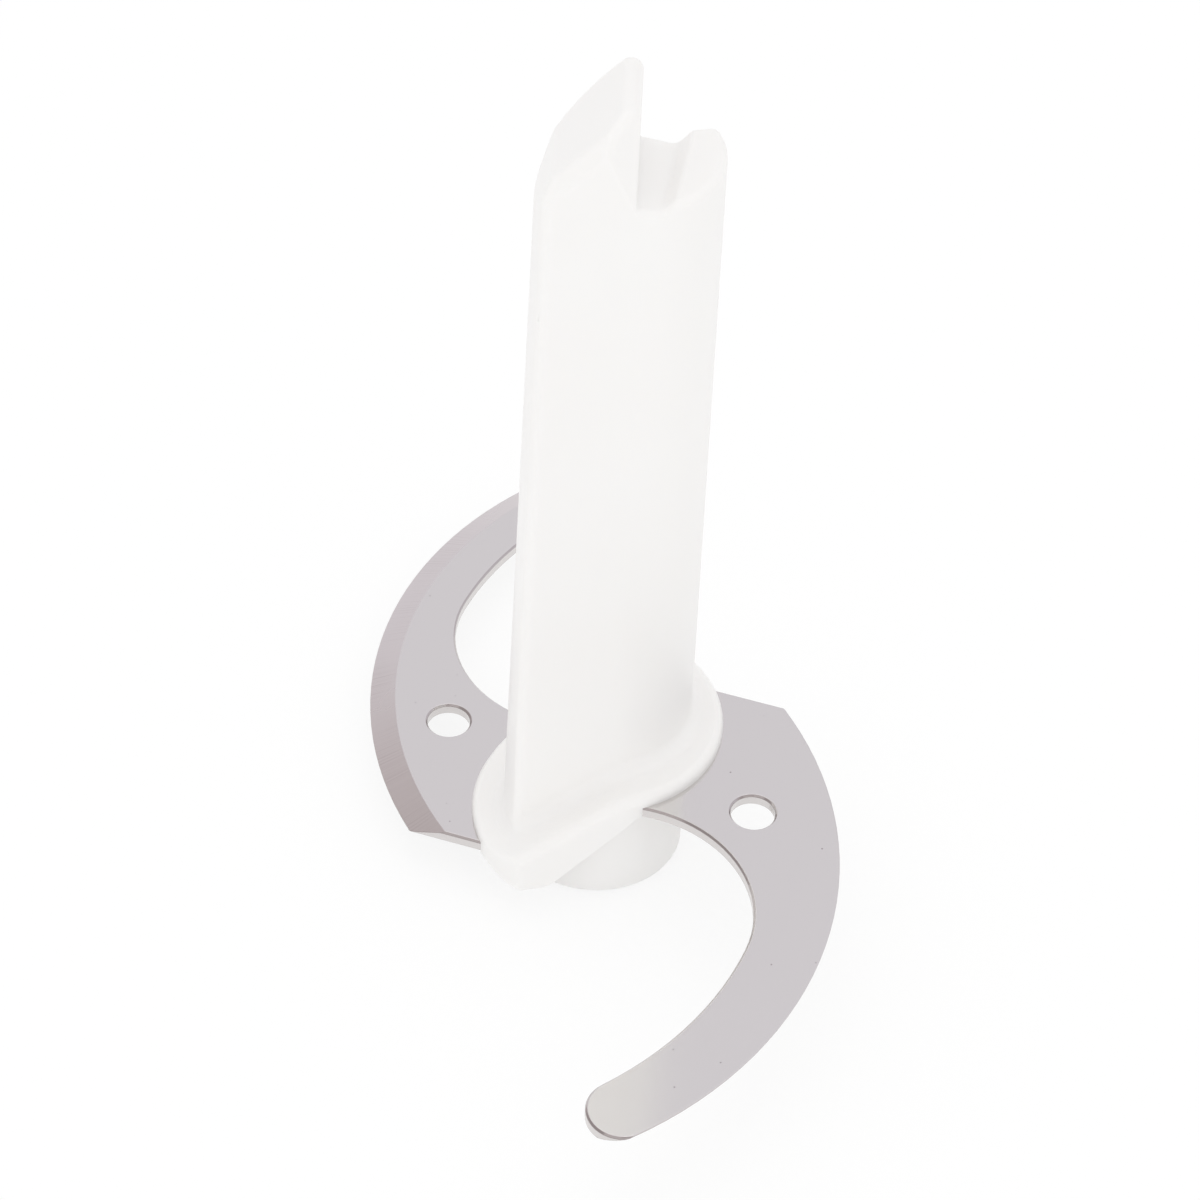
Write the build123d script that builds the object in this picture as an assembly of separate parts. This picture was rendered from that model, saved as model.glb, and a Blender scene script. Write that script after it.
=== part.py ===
from build123d import *
import os
from math import atan2, cos, radians, sin, sqrt, tan

# Food processor S-blade: a stepped steel blade held in a tall plastic hub.
# Millimetres and degrees. The origin is on the hub's axis at the boss's lower face, with +Z up.
# The blade steps up along +X. Plan angles turn anticlockwise from +X.

# Blade: plate, levels and the step between the arms
plate_thickness = 2.3
lower_arm_height = 7.0
arm_step = 14.5
step_run = 15.0
bend_radius = 2.0
core_hole_radius = 10.5

# Blade: plan of the upper arm, and the lower arm is the same a half turn on
outer_radius = 74.5
outer_center_x = -31.9
outer_center_y = -27.2
throat_radius = 23.6
throat_angle = -83.9
web_half_width = 16.83
inner_radius = 65.2
inner_angle = -19.5
heel_distance = 18.6
heel_angle = -15.8
heel_corner_radius = 1.5
tip_angle = -55.4
hole_radius = 3.9
hole_circle_radius = 32.0
hole_angle = -30.6

# Blade: broken edges and ground cutting edges
edge_break = 0.35
grind_depth = 0.5
bevel_width = 4.6
edge_land = 0.25

# Hub: sleeve up to the shoulder, with its two-nosed section there and its draft
shoulder_height = 148.2
flat_angle = 14.4
sleeve_flat = 9.97
sleeve_arc = 16.47
sleeve_nose_radius = 1.5
sleeve_draft = 0.62
sleeve_root_radius = 2.5

# Hub: collar over the blade, and boss below it
collar_flat = 18.8
collar_arc = 23.0
collar_nose_radius = 1.9
collar_cover = 2.4
collar_ramp_start = -17.4
collar_ramp_end = 4.8
collar_ramp_radius = 12.0
collar_edge_radius = 1.6
boss_radius = 15.8
boss_edge_break = 0.8

# Hub: tooth on the left of the shoulder, with a steep nose and a straight back, and groove on the right
tooth_nose_angle = 66.5
tooth_kink_x = -12.3
tooth_kink_rise = 6.1
tooth_back_angle = 41.2
tooth_wall_top = 0.9
tooth_wall_foot = 1.0
tooth_peak_radius = 2.0
ridge_inset = 1.7
facet_start = -5.0
facet_drop = 4.2
facet_depth = 7.3
groove_far_bottom = 7.45
groove_far_end = 9.8
groove_far_depth = 2.7
groove_near_bottom = 4.15
groove_near_end = 5.8
groove_near_depth = 0.7
top_edge_radius = 1.2

# Hub: shaft socket, a double-D mouth below a round bore
socket_radius = 8.0
socket_flats = 13.4
socket_depth = 30.0
bore_radius = 6.2
bore_depth = 130.0

# Levels and reaches that follow from the sizes above
lower_top = lower_arm_height + plate_thickness
upper_arm_height = lower_arm_height + arm_step
upper_top = upper_arm_height + plate_thickness
outer_bend_radius = bend_radius + plate_thickness
bend_share = tan(atan2(arm_step, step_run) / 2)
upper_arm_start = step_run / 2 + bend_radius * bend_share
lower_arm_start = step_run / 2 + outer_bend_radius * bend_share
kink_height = shoulder_height + tooth_kink_rise
peak_height = kink_height + (tooth_wall_top - tooth_kink_x) * tan(radians(tooth_back_angle))
outer_center = Vector(outer_center_x, outer_center_y)
plan_reach = outer_center.length + outer_radius
hub_reach = 2 * collar_arc


def polar(radius, angle):
    """Plan vector of a length at an angle from +X."""
    return Vector(radius * cos(radians(angle)), radius * sin(radians(angle)))


def arc_about(center, start, end):
    """Arc under a half turn from start to end about a centre."""
    middle = center + ((start - center) + (end - center)).normalized() * (start - center).length
    return ThreePointArc(start, middle, end)


def line_on_circle(point, direction, center, radius):
    """Last crossing of a line with a circle, along the line's direction."""
    nearest = point + direction * (center - point).dot(direction)
    return nearest + direction * sqrt(radius**2 - (nearest - center).length ** 2)


def across_y(profile, reach):
    """Solid from a profile drawn in X and Z, run along Y to both sides."""
    return extrude(Plane.XZ * profile, reach, both=True)


def half_turn(shape):
    """Copy of a shape turned by half a turn about the hub's axis."""
    return Rot(0, 0, 180) * shape


def step_line(reach):
    """Underside of the stepped plate, seen along Y."""
    points = [
        (-reach, lower_arm_height),
        (-step_run / 2, lower_arm_height),
        (step_run / 2, upper_arm_height),
        (reach, upper_arm_height),
    ]
    return FilletPolyline(*points, radius=[outer_bend_radius, bend_radius])


def plan_zone(left, right):
    """Plan of the blade's middle between two distances from the axis, which the collar covers."""
    return Pos((right - left) / 2, 0) * Rectangle(left + right, 2 * collar_arc)


def blank_outline():
    """Plan of the whole blank: two arms, each with a heel, an outer arc, a round tip and a throat."""
    blank_radius = outer_radius + grind_depth
    throat_center = polar(web_half_width + throat_radius, throat_angle)
    meeting = polar(1, inner_angle)
    inner_center = throat_center - meeting * (inner_radius - throat_radius)
    throat_end = throat_center + meeting * throat_radius
    heel_along = polar(1, heel_angle)
    heel_foot = polar(heel_distance, heel_angle + 90)
    heel_start = line_on_circle(heel_foot, heel_along, -throat_center, throat_radius)
    heel_end = line_on_circle(heel_foot, heel_along, outer_center, blank_radius)

    # The tip's round touches the outer arc from inside and the inner arc from outside
    tip_along = polar(1, tip_angle)
    apart = outer_center - inner_center
    lead = apart.dot(tip_along)
    band = apart.length**2 + 2 * blank_radius * lead + blank_radius**2 - inner_radius**2
    tip_radius = band / (2 * (blank_radius + inner_radius + lead))
    tip_center = outer_center + tip_along * (blank_radius - tip_radius)
    tip_outer = outer_center + tip_along * blank_radius
    tip_inner = inner_center + (tip_center - inner_center).normalized() * inner_radius
    tip_end = tip_center + polar(tip_radius, tip_angle - 90)

    half = [
        Line(heel_start, heel_end),
        arc_about(outer_center, heel_end, tip_outer),
        ThreePointArc(tip_outer, tip_end, tip_inner),
        arc_about(inner_center, tip_inner, throat_end),
        arc_about(throat_center, throat_end, -heel_start),
    ]
    outline = make_face(half + [half_turn(edge) for edge in half])
    return round_corners(outline, heel_end.length, heel_corner_radius)


def round_corners(face, distance, radius):
    """Rounds the corners of a plan that lie at a distance from the axis."""
    corners = face.vertices().filter_by(lambda corner: abs(Vector(corner).length - distance) < 0.001)
    return fillet(corners, radius)


def upper_arm(outline, start):
    """Flat upper arm from a distance on: broken edges, a hole, and a bevel ground on the underside."""
    plan = (outline - plan_zone(start, start)).faces().sort_by(Axis.Y)[0]
    arm = extrude(Pos(0, 0, upper_arm_height) * plan, plate_thickness)
    arm -= Pos(polar(hole_circle_radius, hole_angle)) * Cylinder(hole_radius, 4 * upper_top)
    rims = arm.edges().filter_by(Plane.XY).filter_by(Axis.Y, reverse=True)
    arm = chamfer(rims, edge_break)
    over = upper_top + plate_thickness
    under = upper_arm_height - plate_thickness
    beyond = outer_radius + 2 * grind_depth
    ground_away = Polyline(
        (outer_radius - bevel_width, under),
        (outer_radius - bevel_width, upper_arm_height),
        (outer_radius, upper_top - edge_land),
        (outer_radius, over),
        (beyond, over),
        (beyond, under),
        close=True,
    )
    ring = revolve(Plane.XZ * make_face(ground_away), Axis.Z)
    return arm - Pos(outer_center) * ring


def lower_arm(outline, start):
    """Lower arm: the upper one with its bevel on top instead, a half turn on and a step down."""
    middle = Plane.XY.offset(upper_arm_height + plate_thickness / 2)
    return Pos(0, 0, -arm_step) * half_turn(mirror(upper_arm(outline, start), about=middle))


def stepped_plate(outline, zone):
    """Square-edged plate with its step, in a zone of the plan."""
    strip = make_face(offset(step_line(plan_reach), plate_thickness, side=Side.LEFT))
    return across_y(strip, plan_reach) & extrude(outline & zone, 2 * upper_top)


def core():
    """Core of the hub, which passes through the blade."""
    return Cylinder(core_hole_radius, 4 * upper_top)


def blade():
    """Stepped S-plate with a hole for the hub's core in its middle."""
    outline = blank_outline()
    web = stepped_plate(outline, plan_zone(lower_arm_start, upper_arm_start))
    return web + upper_arm(outline, upper_arm_start) + lower_arm(outline, lower_arm_start) - core()


def nosed_section(flat_distance, arc_radius):
    """Section with two flats a half turn apart, each from a nose to an arc that swells to the far nose."""
    along = polar(1, flat_angle)
    outward = polar(1, flat_angle - 90)
    foot = outward * flat_distance
    nose = foot - along * 2 * sqrt(flat_distance * (arc_radius - flat_distance))
    half = [Line(nose, foot), arc_about(outward * (flat_distance - arc_radius), foot, -nose)]
    return make_face(half + [half_turn(edge) for edge in half])


def round_noses(prism, radius):
    """Rounds the two nose edges of a prism with a two-nosed section."""
    upright = prism.edges().filter_by(Plane.XY, reverse=True)
    return fillet(upright.sort_by_distance((0, 0, 0))[-2:], radius)


def sleeve():
    """Tall sleeve, drafted from its foot to the height of the tooth's unrounded peak."""
    spread = (shoulder_height - lower_arm_height) * tan(radians(sleeve_draft))
    foot = Pos(0, 0, lower_arm_height) * nosed_section(sleeve_flat + spread, sleeve_arc + spread)
    prism = extrude(foot, peak_height - lower_arm_height, taper=sleeve_draft)
    return round_noses(prism, sleeve_nose_radius)


def below(line):
    """Solid under a line that runs from the left reach to the right reach of the hub."""
    start = line @ 0
    end = line @ 1
    closing = Polyline(end, (end.X, -hub_reach), (start.X, -hub_reach), start)
    return across_y(make_face(line + closing), hub_reach)


def below_ramp():
    """Space under the collar's top, which ramps up from the lower arm's cover to the upper arm's."""
    low = lower_top + collar_cover
    high = upper_top + collar_cover
    points = [(-hub_reach, low), (collar_ramp_start, low), (collar_ramp_end, high), (hub_reach, high)]
    return below(FilletPolyline(*points, radius=collar_ramp_radius))


def collar():
    """Collar with a soft upper rim, still solid below the blade."""
    prism = extrude(nosed_section(collar_flat, collar_arc), peak_height)
    block = round_noses(prism, collar_nose_radius) & below_ramp()
    tops = block.faces().filter_by(lambda face: face.normal_at().Z > 0.5)
    return fillet(tops.edges().filter_by(Axis.Y, reverse=True), collar_edge_radius)


def boss():
    """Round boss that the part rests on, up into the collar."""
    post = Pos(0, 0, upper_top / 2) * Cylinder(boss_radius, upper_top)
    return chamfer(post.edges().group_by(Axis.Z)[0], boss_edge_break) & below_ramp()


def tooth_cut():
    """Space over the tooth's nose, back and round peak, beside its wall and over the shoulder."""
    over = peak_height + hub_reach
    nose_foot = tooth_kink_x - tooth_kink_rise / tan(radians(tooth_nose_angle))
    peak = (tooth_wall_top, peak_height)
    rim = Polyline(
        (-hub_reach, over),
        (-hub_reach, shoulder_height),
        (nose_foot, shoulder_height),
        (tooth_kink_x, kink_height),
        peak,
        (tooth_wall_foot, shoulder_height),
        (hub_reach, shoulder_height),
        (hub_reach, over),
        close=True,
    )
    space = make_face(rim)
    space = fillet(space.vertices().sort_by_distance(peak)[:1], tooth_peak_radius)
    return across_y(space, hub_reach)


def outside(plane):
    """Space on the outer side of a slanting plane, over the shoulder."""
    block = Pos(0, 0, hub_reach) * Box(4 * hub_reach, 4 * hub_reach, 2 * hub_reach)
    return plane * block & Pos(0, 0, shoulder_height) * block


def groove_section(y, bottom, end, depth):
    """Groove in the shoulder beside the tooth: a long slope down from the wall and a short one up."""
    over = shoulder_height + sleeve_arc
    points = [
        (tooth_wall_foot, y, over),
        (tooth_wall_foot, y, shoulder_height),
        (bottom, y, shoulder_height - depth),
        (end, y, shoulder_height),
        (end, y, over),
    ]
    return make_face(Polyline(*points, close=True))


def groove_cut():
    """Groove that opens and deepens from the near side to the far side."""
    near = groove_section(-sleeve_arc, groove_near_bottom, groove_near_end, groove_near_depth)
    far = groove_section(sleeve_arc, groove_far_bottom, groove_far_end, groove_far_depth)
    return loft([near, far], ruled=True)


def on_near_flat(x, z):
    """Point of the sleeve's near flat."""
    flat = sleeve_flat - (z - shoulder_height) * tan(radians(sleeve_draft))
    return Vector(x, x * tan(radians(flat_angle)) - flat / cos(radians(flat_angle)), z)


def ridge_cut():
    """Bevel that takes off the ridge between the tooth's back and the near flat."""
    back_outward = Vector(-sin(radians(tooth_back_angle)), 0, cos(radians(tooth_back_angle)))
    outward = (polar(1, flat_angle - 90) + back_outward).normalized()
    start = on_near_flat(tooth_kink_x, kink_height) - outward * ridge_inset
    return outside(Plane(origin=start, z_dir=outward))


def facet_cut():
    """Slanting facet across the tooth's near corner, down to the foot of its wall."""
    rim = on_near_flat(facet_start, peak_height - facet_drop)
    foot = on_near_flat(tooth_wall_foot, shoulder_height)
    wall = on_near_flat(tooth_wall_top, peak_height) + Vector(0, facet_depth, 0)
    return outside(Plane(origin=rim, z_dir=(foot - rim).cross(wall - rim)))


def sharp_edges(solid, level):
    """Edges over a level at which the two faces beside them turn by more than a few degrees."""
    found = []
    for edge in solid.edges().filter_by(lambda edge: edge.center().Z > level):
        sides = solid.faces().filter_by(lambda face: any(edge.is_same(other) for other in face.edges()))
        middle = edge @ 0.5
        if sides[0].normal_at(middle).get_angle(sides[-1].normal_at(middle)) > 4:
            found.append(edge)
    return found


def socket():
    """Shaft socket: a mouth with two drive flats, and a round bore above it."""
    mouth = Rot(0, 0, flat_angle) * (Circle(socket_radius) & Rectangle(2 * socket_radius, socket_flats))
    return extrude(mouth, socket_depth) + extrude(Circle(bore_radius), bore_depth)


def hub():
    """One moulding round the blade: boss, collar, sleeve and tooth."""
    drafted = sleeve() - tooth_cut() - ridge_cut() - groove_cut() - facet_cut()
    drafted = fillet(sharp_edges(drafted, shoulder_height - groove_far_depth), top_edge_radius)
    ledge = collar()
    body = ledge + drafted
    body = fillet(new_edges(ledge, drafted, combined=body), sleeve_root_radius)
    pocket = stepped_plate(blank_outline(), Circle(hub_reach)) - core()
    return body - below(step_line(hub_reach)) + boss() - pocket - socket()


if __name__ == "__main__":
    os.makedirs("parts", exist_ok=True)
    export_step(blade(), "parts/blade.step")
    export_step(hub(), "parts/hub.step")
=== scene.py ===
from math import radians

import bpy
from mathutils import Euler, Matrix, Vector

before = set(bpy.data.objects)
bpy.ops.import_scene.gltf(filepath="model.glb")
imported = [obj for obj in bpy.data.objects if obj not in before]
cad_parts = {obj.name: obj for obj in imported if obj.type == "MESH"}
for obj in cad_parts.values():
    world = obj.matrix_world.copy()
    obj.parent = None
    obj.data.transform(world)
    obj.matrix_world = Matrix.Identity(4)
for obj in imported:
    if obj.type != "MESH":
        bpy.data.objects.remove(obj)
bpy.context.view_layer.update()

bl_info = {
    "name": "Food processor blade",
    "version": (1, 0, 0),
    "blender": (4, 5, 0),
    "location": "View3D > Sidebar > Blade",
    "description": "Dresses a stepped S-blade and its tall moulded hub, and sets up its studio",
    "category": "Object",
}

MM = 0.001

# Upright share of the normal: ground bevels lean by about 24 degrees, broken edges by 45, cut walls by 90
GROUND_LEAN = 0.9
GROUND_SPREAD = 0.06
EDGE_LEAN = 0.7
EDGE_SPREAD = 0.1
WALL_LEAN = 0.3

# Roughness of the polish from clear to hazy, and what grinding and cutting add to it
CLEAR_ROUGHNESS = 0.12
HAZY_ROUGHNESS = 0.18
GROUND_ROUGHNESS = 0.13
WALL_ROUGHNESS = 0.1

# Clouds of haze in the polish and torn grains on the cut walls, in each metre
HAZE_CLOUDS = 60.0
TORN_GRAINS = 900.0

# A pit's greatest radius, and what is taken off each, which leaves some cells of the net without one
PIT_RADIUS = 0.272 * MM
PIT_LOSS = 0.08 * MM

# The room that the steel mirrors is darker towards the front left: places on its ramp with their colours
ROOM_FRONT = (-0.25, -0.43, 0.0)
ROOM_MIDDLE = 0.5
ROOM_TONES = ((0.3, "#E5E2E7"), (0.45, "#CBC3C4"), (0.6, "#B5AEAE"))

# The floor lies just under the boss, and the lamps face the lower part of the hub
FLOOR_SIZE = 4.0
FLOOR_DROP = 0.5 * MM
LIT_PLACE = (0, 0, 0.06)


def linear(code):
    """Linear colour with alpha from an sRGB hex code."""
    shares = [int(code[i:i + 2], 16) / 255 for i in (1, 3, 5)]
    return [s / 12.92 if s <= 0.04045 else ((s + 0.055) / 1.055) ** 2.4 for s in shares] + [1.0]


def add(tree, kind, values=None, links=None, **settings):
    """Adds a node with its settings, its input values and the links into it."""
    node = tree.nodes.new(kind)
    for name, value in settings.items():
        setattr(node, name, value)
    for key, value in (values or {}).items():
        node.inputs[key].default_value = value
    for key, socket in (links or {}).items():
        tree.links.new(socket, node.inputs[key])
    return node


def new_material(name):
    """Empty node material with its output."""
    material = bpy.data.materials.new(name)
    material.use_nodes = True
    tree = material.node_tree
    tree.nodes.clear()
    return material, tree, add(tree, "ShaderNodeOutputMaterial")


def color_setting(name, description, code):
    """Colour that a user can change, from its sRGB hex code."""
    return bpy.props.FloatVectorProperty(
        name=name, description=description, subtype="COLOR", size=4, min=0.0, max=1.0, default=linear(code)
    )


def length_setting(name, description, millimetres):
    """Length that a user can change, given here in millimetres."""
    return bpy.props.FloatProperty(
        name=name, description=description, unit="LENGTH", min=0.0, precision=5, default=millimetres * MM
    )


def share_setting(name, description, share):
    """Share between none and all that a user can change."""
    return bpy.props.FloatProperty(
        name=name, description=description, subtype="FACTOR", min=0.0, max=1.0, default=share
    )


def power_setting(name, description, watts):
    """Power of a lamp that a user can change."""
    return bpy.props.FloatProperty(name=name, description=description, unit="POWER", default=watts)


def angle_setting(name, description, degrees):
    """Angle that a user can change, given here in degrees."""
    return bpy.props.FloatProperty(
        name=name, description=description, unit="ROTATION", default=radians(degrees)
    )


class HubFinish(bpy.types.PropertyGroup):
    """Finish of the moulded hub."""

    clear_tone: color_setting("Clear tone", "Colour where the plastic is at its whitest", "#F8F7F6")
    milky_tone: color_setting("Milky tone", "Colour where the plastic is thicker with filler", "#F5F3F1")
    tone_size: length_setting("Tone size", "Width of the soft clouds of tone", 40.0)
    grain_size: length_setting("Grain size", "Width of the mould's fine grain", 0.45)
    light_depth: length_setting("Light depth", "How far light travels inside the plastic", 1.5)
    roughness: share_setting("Roughness", "Roughness of the satin mould finish", 0.38)


class BladeFinish(bpy.types.PropertyGroup):
    """Finish of the steel blade."""

    polished_tone: color_setting("Polished tone", "Colour of the polished flats", "#E4E2E0")
    ground_tone: color_setting("Ground tone", "Colour of the ground cutting edges", "#E2DDDC")
    groove_tone: color_setting("Groove tone", "Colour in the grinding lines", "#D9D3D2")
    speck_tone: color_setting("Speck tone", "Colour of the small pits in the polish", "#C0BABA")
    cut_tone: color_setting("Cut tone", "Colour of the cut walls round the plate and its holes", "#DAD6D5")
    # The broken edges' tone is a painted reflection: darker than the polish, it stands in for the dark lines
    # that the edges mirror
    edge_painted_reflection_tone: color_setting("Edge tone", "Colour of the broken edges", "#C8C3C2")
    edge_softness: length_setting("Edge softness", "Radius to which the plate's edges look rounded", 0.3)
    level_of_step: length_setting("Level of step", "Height between the lower and the upper arm", 15.5)
    grind_center_x: length_setting("Grind centre X", "Centre of the lower arm's outer arc, along X", 31.9)
    grind_center_y: length_setting("Grind centre Y", "Centre of the lower arm's outer arc, along Y", 27.2)
    grind_radius: length_setting("Grind radius", "Radius of the ground bevels about their centres", 72.0)
    line_spacing: length_setting("Line spacing", "Distance between the grinding lines", 0.35)
    patch_size: length_setting("Patch size", "Width of the patches where the grinding lines show", 16.0)
    speck_spacing: length_setting("Speck spacing", "Mean distance between small pits", 8.0)


class StudioSettings(bpy.types.PropertyGroup):
    """Light, floor and camera of the studio."""

    floor_tone: color_setting("Floor tone", "Colour of the floor and the backdrop", "#FFFFFF")
    shadow_share: share_setting("Shadow share", "How much of the object's shadow the floor shows", 0.2)
    sky_level: share_setting("Sky level", "Strength of the even light from all round", 0.92)
    top_power: power_setting("Top power", "Power of the softbox overhead", 7.0)
    key_power: power_setting("Key power", "Power of the high softbox at the front left", 3.4)
    fill_power: power_setting("Fill power", "Power of the low softbox at the front right", 4.0)
    lens: bpy.props.FloatProperty(
        name="Lens", description="Focal length on a sensor 36 mm wide", unit="CAMERA", default=114.33
    )
    camera_place: bpy.props.FloatVectorProperty(
        name="Camera place",
        description="Where the camera stands",
        subtype="TRANSLATION",
        default=(-1.17 * MM, -475.3 * MM, 504.6 * MM),
    )
    camera_tilt: angle_setting("Camera tilt", "How far the camera looks down", 43.28)
    camera_roll: angle_setting("Camera roll", "Turn of the camera about its view", 3.26)


def polypropylene(finish):
    """Satin white polypropylene: light sinks in a little, so edges glow and shadows stay soft."""
    material, tree, output = new_material("moulded_white_polypropylene")
    place = add(tree, "ShaderNodeTexCoord").outputs["Object"]
    cloud = add(
        tree, "ShaderNodeTexNoise", {"Scale": 1 / finish.tone_size, "Detail": 2.0}, {"Vector": place}
    ).outputs["Fac"]
    tone = add(
        tree,
        "ShaderNodeMix",
        {6: finish.milky_tone, 7: finish.clear_tone},
        {0: cloud},
        data_type="RGBA",
    ).outputs[2]

    # A mould's grain is finer than this, and is drawn as wide as it needs to show
    grain = add(
        tree, "ShaderNodeTexNoise", {"Scale": 1 / finish.grain_size, "Detail": 2.0}, {"Vector": place}
    ).outputs["Fac"]
    bump = add(
        tree, "ShaderNodeBump", {"Strength": 0.06, "Distance": 0.05 * MM}, {"Height": grain}
    ).outputs["Normal"]
    shader = add(
        tree,
        "ShaderNodeBsdfPrincipled",
        {
            "Roughness": finish.roughness,
            "IOR": 1.49,
            "Subsurface Weight": 0.15,
            "Subsurface Radius": (1.0, 0.97, 0.93),
            "Subsurface Scale": finish.light_depth,
        },
        {"Base Color": tone, "Normal": bump},
    )
    tree.links.new(shader.outputs["BSDF"], output.inputs["Surface"])
    return material


def stainless_steel(finish):
    """Polished stainless steel: a grey mirror with small pits, cross-ground bevels, duller cut walls, and a
    painted reflection, a darker tone, on the broken edges.
    """
    material, tree, output = new_material("polished_stainless_steel")
    place = add(tree, "ShaderNodeTexCoord").outputs["Object"]

    # The lean of a face tells the ground bevels, the broken edges and the cut walls from the flats
    normal = add(tree, "ShaderNodeNewGeometry").outputs["True Normal"]
    lean = add(tree, "ShaderNodeSeparateXYZ", links={"Vector": normal}).outputs["Z"]
    lean = add(tree, "ShaderNodeMath", links={0: lean}, operation="ABSOLUTE").outputs["Value"]
    ground = add(
        tree, "ShaderNodeMath", {1: GROUND_LEAN, 2: GROUND_SPREAD}, {0: lean}, operation="COMPARE"
    ).outputs["Value"]
    # Mask of the broken edges, where a darker reflection is painted
    painted_reflection_edges = add(
        tree, "ShaderNodeMath", {1: EDGE_LEAN, 2: EDGE_SPREAD}, {0: lean}, operation="COMPARE"
    ).outputs["Value"]
    wall = add(tree, "ShaderNodeMath", {1: WALL_LEAN}, {0: lean}, operation="LESS_THAN").outputs["Value"]

    # Grinding lines run out from the centre of each arm's outer arc, half a turn apart
    height = add(tree, "ShaderNodeSeparateXYZ", links={"Vector": place}).outputs["Z"]
    upper = add(
        tree, "ShaderNodeMath", {1: finish.level_of_step}, {0: height}, operation="GREATER_THAN"
    ).outputs["Value"]
    side = add(
        tree, "ShaderNodeMath", {1: -2.0, 2: 1.0}, {0: upper}, operation="MULTIPLY_ADD"
    ).outputs["Value"]
    center = add(
        tree,
        "ShaderNodeVectorMath",
        {0: (finish.grind_center_x, finish.grind_center_y, 0.0)},
        {"Scale": side},
        operation="SCALE",
    ).outputs["Vector"]
    spoke = add(
        tree, "ShaderNodeVectorMath", links={0: place, 1: center}, operation="SUBTRACT"
    ).outputs["Vector"]
    spoke = add(tree, "ShaderNodeSeparateXYZ", links={"Vector": spoke}).outputs
    turn = add(
        tree, "ShaderNodeMath", links={0: spoke["Y"], 1: spoke["X"]}, operation="ARCTAN2"
    ).outputs["Value"]

    # A wheel's lines are finer than this, and are drawn as coarse as they need to show, strongest in patches
    lines = add(
        tree,
        "ShaderNodeTexNoise",
        {"Scale": finish.grind_radius / finish.line_spacing, "Detail": 3.0},
        {"W": turn},
        noise_dimensions="1D",
    ).outputs["Fac"]
    patches = add(
        tree, "ShaderNodeTexNoise", {"Scale": 1 / finish.patch_size, "Detail": 1.0}, {"Vector": place}
    ).outputs["Fac"]
    strong = add(
        tree, "ShaderNodeMapRange", {"From Min": 0.45, "From Max": 0.65, "To Min": 0.1}, {"Value": patches}
    ).outputs["Result"]
    cut = add(
        tree, "ShaderNodeMapRange", {"From Min": 0.55, "From Max": 0.35}, {"Value": lines}
    ).outputs["Result"]
    cut = add(tree, "ShaderNodeMath", links={0: cut, 1: strong}, operation="MULTIPLY").outputs["Value"]
    grinding = add(
        tree,
        "ShaderNodeMix",
        {6: finish.ground_tone, 7: finish.groove_tone},
        {0: cut},
        data_type="RGBA",
    ).outputs[2]

    # Small pits, up to 0.4 mm wide, in some cells of an uneven net
    net = add(
        tree,
        "ShaderNodeTexVoronoi",
        {"Scale": 1 / finish.speck_spacing},
        {"Vector": place},
        voronoi_dimensions="2D",
    ).outputs
    pick = add(tree, "ShaderNodeSeparateColor", links={"Color": net["Color"]}).outputs["Red"]
    reach = add(
        tree, "ShaderNodeMath", {1: PIT_RADIUS / finish.speck_spacing}, {0: pick}, operation="MULTIPLY"
    ).outputs["Value"]
    reach = add(
        tree, "ShaderNodeMath", {1: PIT_LOSS / finish.speck_spacing}, {0: reach}, operation="SUBTRACT"
    ).outputs["Value"]
    pit = add(
        tree, "ShaderNodeMath", links={0: net["Distance"], 1: reach}, operation="LESS_THAN"
    ).outputs["Value"]

    tone = add(
        tree,
        "ShaderNodeMix",
        {6: finish.polished_tone, 7: finish.speck_tone},
        {0: pit},
        data_type="RGBA",
    ).outputs[2]
    tone = add(tree, "ShaderNodeMix", links={0: ground, 6: tone, 7: grinding}, data_type="RGBA").outputs[2]
    tone = add(
        tree, "ShaderNodeMix", {7: finish.cut_tone}, {0: wall, 6: tone}, data_type="RGBA"
    ).outputs[2]
    # Painted reflection: the broken edges take a darker tone in place of the dark lines that they mirror
    # from the room
    tone = add(
        tree, "ShaderNodeMix", {7: finish.edge_painted_reflection_tone}, {0: painted_reflection_edges, 6: tone}, data_type="RGBA"
    ).outputs[2]

    # Polish is smoothest, and the cut walls and ground bevels scatter more
    haze = add(
        tree, "ShaderNodeTexNoise", {"Scale": HAZE_CLOUDS, "Detail": 3.0}, {"Vector": place}
    ).outputs["Fac"]
    rough = add(
        tree, "ShaderNodeMapRange", {"To Min": CLEAR_ROUGHNESS, "To Max": HAZY_ROUGHNESS}, {"Value": haze}
    ).outputs["Result"]
    rough = add(
        tree, "ShaderNodeMath", {1: GROUND_ROUGHNESS}, {0: ground, 2: rough}, operation="MULTIPLY_ADD"
    ).outputs["Value"]
    rough = add(
        tree, "ShaderNodeMath", {1: WALL_ROUGHNESS}, {0: wall, 2: rough}, operation="MULTIPLY_ADD"
    ).outputs["Value"]

    shear = add(
        tree, "ShaderNodeTexNoise", {"Scale": TORN_GRAINS, "Detail": 3.0}, {"Vector": place}
    ).outputs["Fac"]
    tear = add(tree, "ShaderNodeMath", links={0: shear, 1: wall}, operation="MULTIPLY").outputs["Value"]
    relief = add(
        tree, "ShaderNodeMath", links={0: cut, 1: ground, 2: tear}, operation="MULTIPLY_ADD"
    ).outputs["Value"]
    rounded = add(tree, "ShaderNodeBevel", {"Radius": finish.edge_softness}, samples=8).outputs["Normal"]
    bump = add(
        tree,
        "ShaderNodeBump",
        {"Strength": 0.03, "Distance": 0.1 * MM},
        {"Height": relief, "Normal": rounded},
    ).outputs["Normal"]
    shader = add(
        tree,
        "ShaderNodeBsdfPrincipled",
        {"Metallic": 1.0},
        {"Base Color": tone, "Roughness": rough, "Normal": bump},
    )
    tree.links.new(shader.outputs["BSDF"], output.inputs["Surface"])
    return material


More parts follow.
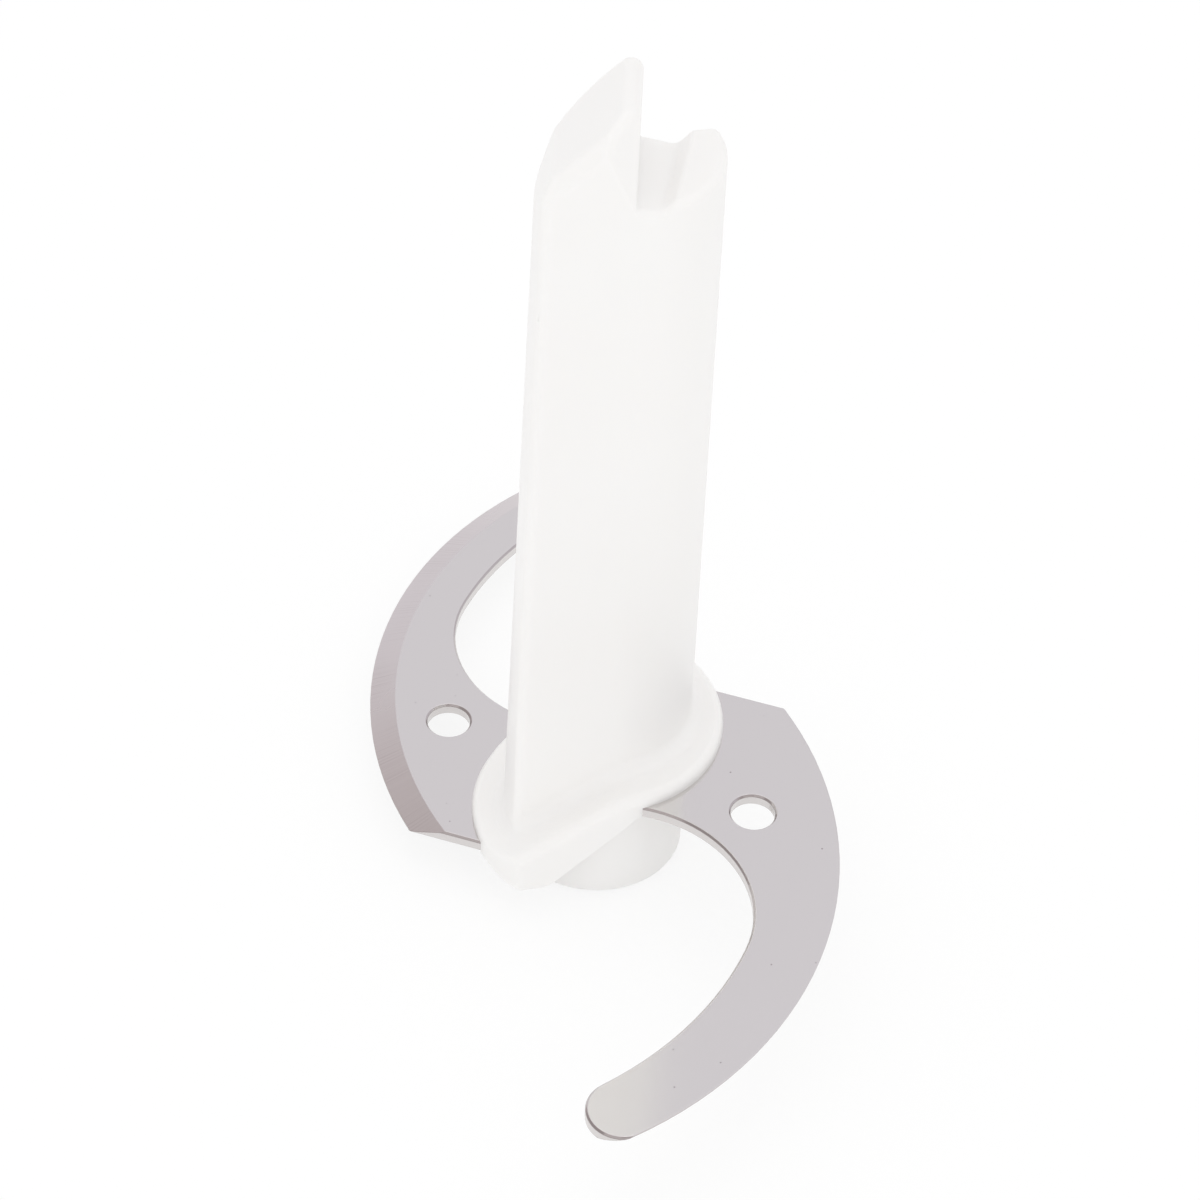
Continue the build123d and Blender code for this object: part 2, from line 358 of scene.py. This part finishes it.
def seen_share(tree):
    """One for rays that look at the studio, straight or in a reflection, and zero for rays that light it."""
    path = add(tree, "ShaderNodeLightPath").outputs
    seen = add(
        tree,
        "ShaderNodeMath",
        links={0: path["Is Camera Ray"], 1: path["Is Glossy Ray"]},
        operation="MAXIMUM",
    ).outputs["Value"]
    return add(
        tree, "ShaderNodeMath", links={0: seen, 1: path["Is Transmission Ray"]}, operation="MAXIMUM"
    ).outputs["Value"]


def sweep_paper(studio):
    """Matt white paper: it looks white, and keeps a faint shadow."""
    material, tree, output = new_material("white_sweep_paper")
    matt = add(tree, "ShaderNodeBsdfDiffuse", {"Color": studio.floor_tone})
    glow = add(tree, "ShaderNodeEmission", {"Color": studio.floor_tone})
    share = add(
        tree, "ShaderNodeMath", {1: 1.0 - studio.shadow_share}, {0: seen_share(tree)}, operation="MULTIPLY"
    ).outputs["Value"]
    paper = add(
        tree, "ShaderNodeMixShader", links={0: share, 1: matt.outputs["BSDF"], 2: glow.outputs["Emission"]}
    )
    tree.links.new(paper.outputs["Shader"], output.inputs["Surface"])
    return material


def light_world(scene, studio):
    """Even light from all round, seen as white, with a greyer room for the steel to mirror."""
    world = bpy.data.worlds.new("studio")
    world.use_nodes = True
    scene.world = world
    tree = world.node_tree
    tree.nodes.clear()
    output = add(tree, "ShaderNodeOutputWorld")
    light = add(tree, "ShaderNodeBackground", {"Color": studio.floor_tone, "Strength": studio.sky_level})

    direction = add(tree, "ShaderNodeTexCoord").outputs["Generated"]
    front = add(
        tree, "ShaderNodeVectorMath", {1: ROOM_FRONT}, {0: direction}, operation="DOT_PRODUCT"
    ).outputs["Value"]
    front = add(tree, "ShaderNodeMath", {1: ROOM_MIDDLE}, {0: front}, operation="ADD").outputs["Value"]
    room = add(tree, "ShaderNodeValToRGB", links={"Fac": front})
    stops = room.color_ramp.elements
    stops.remove(stops[1])
    stops[0].position, stops[0].color = ROOM_TONES[0][0], linear(ROOM_TONES[0][1])
    for position, code in ROOM_TONES[1:]:
        stops.new(position).color = linear(code)

    path = add(tree, "ShaderNodeLightPath").outputs
    view = add(
        tree,
        "ShaderNodeMix",
        {6: studio.floor_tone},
        {0: path["Is Glossy Ray"], 7: room.outputs["Color"]},
        data_type="RGBA",
    ).outputs[2]
    seen = add(tree, "ShaderNodeBackground", {"Strength": 1.0}, {"Color": view})
    both = add(
        tree,
        "ShaderNodeMixShader",
        links={0: seen_share(tree), 1: light.outputs["Background"], 2: seen.outputs["Background"]},
    )
    tree.links.new(both.outputs["Shader"], output.inputs["Surface"])


def softbox(scene, name, power, size, place):
    """Square lamp that faces the part, wide enough that its image in the steel doesn't clip to white."""
    data = bpy.data.lights.new(name, "AREA")
    data.energy = power
    data.size = size
    lamp = bpy.data.objects.new(name, data)
    lamp.location = place
    lamp.rotation_euler = (Vector(LIT_PLACE) - lamp.location).to_track_quat("-Z", "Y").to_euler()
    scene.collection.objects.link(lamp)


class BLADE_OT_hub(bpy.types.Operator):
    """Gives the hub its moulded plastic."""

    bl_idname = "blade.hub"
    bl_label = "Hub"

    def execute(self, context):
        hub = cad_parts["hub"]
        hub.data.materials.clear()
        hub.data.materials.append(polypropylene(context.scene.blade_hub))
        return {"FINISHED"}


class BLADE_OT_plate(bpy.types.Operator):
    """Gives the blade its polished and ground steel."""

    bl_idname = "blade.plate"
    bl_label = "Blade"

    def execute(self, context):
        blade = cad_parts["blade"]
        blade.data.materials.clear()
        blade.data.materials.append(stainless_steel(context.scene.blade_plate))
        return {"FINISHED"}


class BLADE_OT_stage(bpy.types.Operator):
    """Sets the floor, the light and the camera."""

    bl_idname = "blade.stage"
    bl_label = "Studio"

    def execute(self, context):
        scene = context.scene
        studio = scene.blade_studio
        scene.view_settings.view_transform = "Standard"
        light_world(scene, studio)

        bpy.ops.object.select_all(action="DESELECT")
        bpy.ops.mesh.primitive_plane_add(size=FLOOR_SIZE, location=(0, 0, -FLOOR_DROP))
        floor = context.object
        floor.name = "floor"
        floor.data.materials.append(sweep_paper(studio))

        softbox(scene, "top", studio.top_power, size=2.4, place=(0, 0.4, 3.2))
        softbox(scene, "key", studio.key_power, size=2.0, place=(-1.0, -2.0, 2.2))
        softbox(scene, "fill", studio.fill_power, size=2.4, place=(1.0, -2.4, 1.2))

        data = bpy.data.cameras.new("camera")
        data.sensor_width = 36.0
        data.lens = studio.lens
        camera = bpy.data.objects.new("camera", data)
        tilt = Euler((radians(90) - studio.camera_tilt, 0, 0)).to_matrix()
        roll = Euler((0, 0, studio.camera_roll)).to_matrix()
        camera.matrix_world = Matrix.Translation(studio.camera_place) @ (tilt @ roll).to_4x4()
        scene.collection.objects.link(camera)
        scene.camera = camera
        return {"FINISHED"}


class BLADE_PT_panel(bpy.types.Panel):
    """Sidebar panel with one button for each piece, and their settings."""

    bl_label = "Food processor blade"
    bl_idname = "BLADE_PT_panel"
    bl_space_type = "VIEW_3D"
    bl_region_type = "UI"
    bl_category = "Blade"

    def draw(self, context):
        for operator, settings in (
            (BLADE_OT_hub, context.scene.blade_hub),
            (BLADE_OT_plate, context.scene.blade_plate),
            (BLADE_OT_stage, context.scene.blade_studio),
        ):
            box = self.layout.box()
            box.operator(operator.bl_idname)
            for name in settings.__annotations__:
                box.prop(settings, name)


classes = (
    HubFinish,
    BladeFinish,
    StudioSettings,
    BLADE_OT_hub,
    BLADE_OT_plate,
    BLADE_OT_stage,
    BLADE_PT_panel,
)


def register():
    for cls in classes:
        bpy.utils.register_class(cls)
    bpy.types.Scene.blade_hub = bpy.props.PointerProperty(type=HubFinish)
    bpy.types.Scene.blade_plate = bpy.props.PointerProperty(type=BladeFinish)
    bpy.types.Scene.blade_studio = bpy.props.PointerProperty(type=StudioSettings)


def unregister():
    del bpy.types.Scene.blade_studio
    del bpy.types.Scene.blade_plate
    del bpy.types.Scene.blade_hub
    for cls in reversed(classes):
        bpy.utils.unregister_class(cls)


def main():
    register()
    bpy.ops.blade.hub()
    bpy.ops.blade.plate()
    bpy.ops.blade.stage()


if __name__ == "__main__":
    main()
